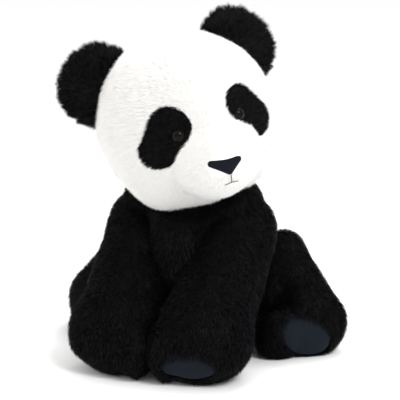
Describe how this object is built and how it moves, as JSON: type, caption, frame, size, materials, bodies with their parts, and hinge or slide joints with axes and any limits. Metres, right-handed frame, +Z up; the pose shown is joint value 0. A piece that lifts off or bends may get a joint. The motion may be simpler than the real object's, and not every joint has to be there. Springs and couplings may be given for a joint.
{
  "type": "plush panda",
  "caption": "Sitting plush panda: white head turned to its left, black ears, eye patches and limbs, slate pads, white back and tail, jointed at neck, ears, legs and tail.",
  "frame": {"origin": "centre of the bottom of the bounding box, on the surface that the panda sits on", "axes": "+Z up, -Y the way the body faces, +X the panda's left; metres"},
  "size_m": [0.235, 0.2331, 0.2725],
  "materials": {
    "white_plush": "matte",
    "black_plush": "matte",
    "pad_plush": "matte",
    "nose_velour": "matte",
    "eye_plastic": "gloss",
    "washer_plastic": "satin",
    "fibre_fill": "matte",
    "bean_bag_cloth": "matte",
    "black_thread": "matte"
  },
  "bodies": {
    "torso": {"chest_panel": "black_plush", "body_panel": "white_plush", "seat_panel": "white_plush", "torso_filling": "fibre_fill", "bean_bag": "bean_bag_cloth"},
    "neck": {"neck_seam": "black_thread"},
    "neck_core": {"neck_filling": "fibre_fill"},
    "head": {"head_face": "white_plush", "head_gusset": "white_plush", "head_back_left": "white_plush", "head_back_right": "white_plush", "head_filling": "fibre_fill", "muzzle_panel": "white_plush", "muzzle_filling": "fibre_fill", "nose": "nose_velour", "mouth_stitch": "black_thread", "eye_patch_left": "black_plush", "eye_patch_right": "black_plush", "eye_left": "eye_plastic", "eye_right": "eye_plastic", "eye_washer_left": "washer_plastic", "eye_washer_right": "washer_plastic"},
    "tail": {"tail_cover": "white_plush", "tail_filling": "fibre_fill"},
    "ear_left": {"ear_front_left": "black_plush", "ear_back_left": "black_plush", "ear_filling_left": "fibre_fill"},
    "arm_left": {"arm_outer_left": "black_plush", "arm_inner_left": "black_plush", "arm_filling_left": "fibre_fill", "paw_pad_left": "pad_plush", "shoulder_seam_left": "black_thread"},
    "leg_left": {"leg_cover_left": "black_plush", "leg_filling_left": "fibre_fill", "foot_pad_left": "pad_plush", "hip_seam_left": "black_thread"},
    "ear_right": {"ear_front_right": "black_plush", "ear_back_right": "black_plush", "ear_filling_right": "fibre_fill"},
    "arm_right": {"arm_outer_right": "black_plush", "arm_inner_right": "black_plush", "arm_filling_right": "fibre_fill", "paw_pad_right": "pad_plush", "shoulder_seam_right": "black_thread"},
    "leg_right": {"leg_cover_right": "black_plush", "leg_filling_right": "fibre_fill", "foot_pad_right": "pad_plush", "hip_seam_right": "black_thread"}
  },
  "joints": [
    {"name": "neck_turn", "type": "hinge", "parent": "torso", "child": "neck", "pos_m": [0, -0.016, 0.19], "axis": [0, -0.2756, 0.9613], "range_deg": [-65, 8]},
    {"name": "head_nod", "type": "hinge", "parent": "neck", "child": "neck_core", "pos_m": [0, -0.016, 0.19], "axis": [0.788, 0.6157, 0], "range_deg": [-10, 10]},
    {"name": "head_tilt", "type": "hinge", "parent": "neck_core", "child": "head", "pos_m": [0, -0.016, 0.19], "axis": [0.6157, -0.788, 0], "range_deg": [-8, 8]},
    {"name": "ear_left_fold", "type": "hinge", "parent": "head", "child": "ear_left", "pos_m": [0.02292, 0.0366, 0.24313], "axis": [0.6716, 0.361, -0.647], "range_deg": [-20, 20]},
    {"name": "arm_left_swing", "type": "hinge", "parent": "torso", "child": "arm_left", "pos_m": [0.044, -0.015, 0.094], "axis": [-1, 0, 0], "range_deg": [-11, 40]},
    {"name": "leg_left_lift", "type": "hinge", "parent": "torso", "child": "leg_left", "pos_m": [0.06, 0.036, 0.053], "axis": [-1, 0, 0], "range_deg": [-20, 30]},
    {"name": "ear_right_fold", "type": "hinge", "parent": "head", "child": "ear_right", "pos_m": [-0.07219, -0.03771, 0.21079], "axis": [0.1784, 0.3032, 0.9361], "range_deg": [-20, 20]},
    {"name": "arm_right_swing", "type": "hinge", "parent": "torso", "child": "arm_right", "pos_m": [-0.044, -0.015, 0.094], "axis": [-1, 0, 0], "range_deg": [-11, 40]},
    {"name": "leg_right_lift", "type": "hinge", "parent": "torso", "child": "leg_right", "pos_m": [-0.06, 0.036, 0.053], "axis": [-1, 0, 0], "range_deg": [-20, 30]},
    {"name": "tail_wag", "type": "hinge", "parent": "torso", "child": "tail", "pos_m": [0, 0.10134, 0.03832], "axis": [1, 0, 0], "range_deg": [-15, 15]}
  ]
}
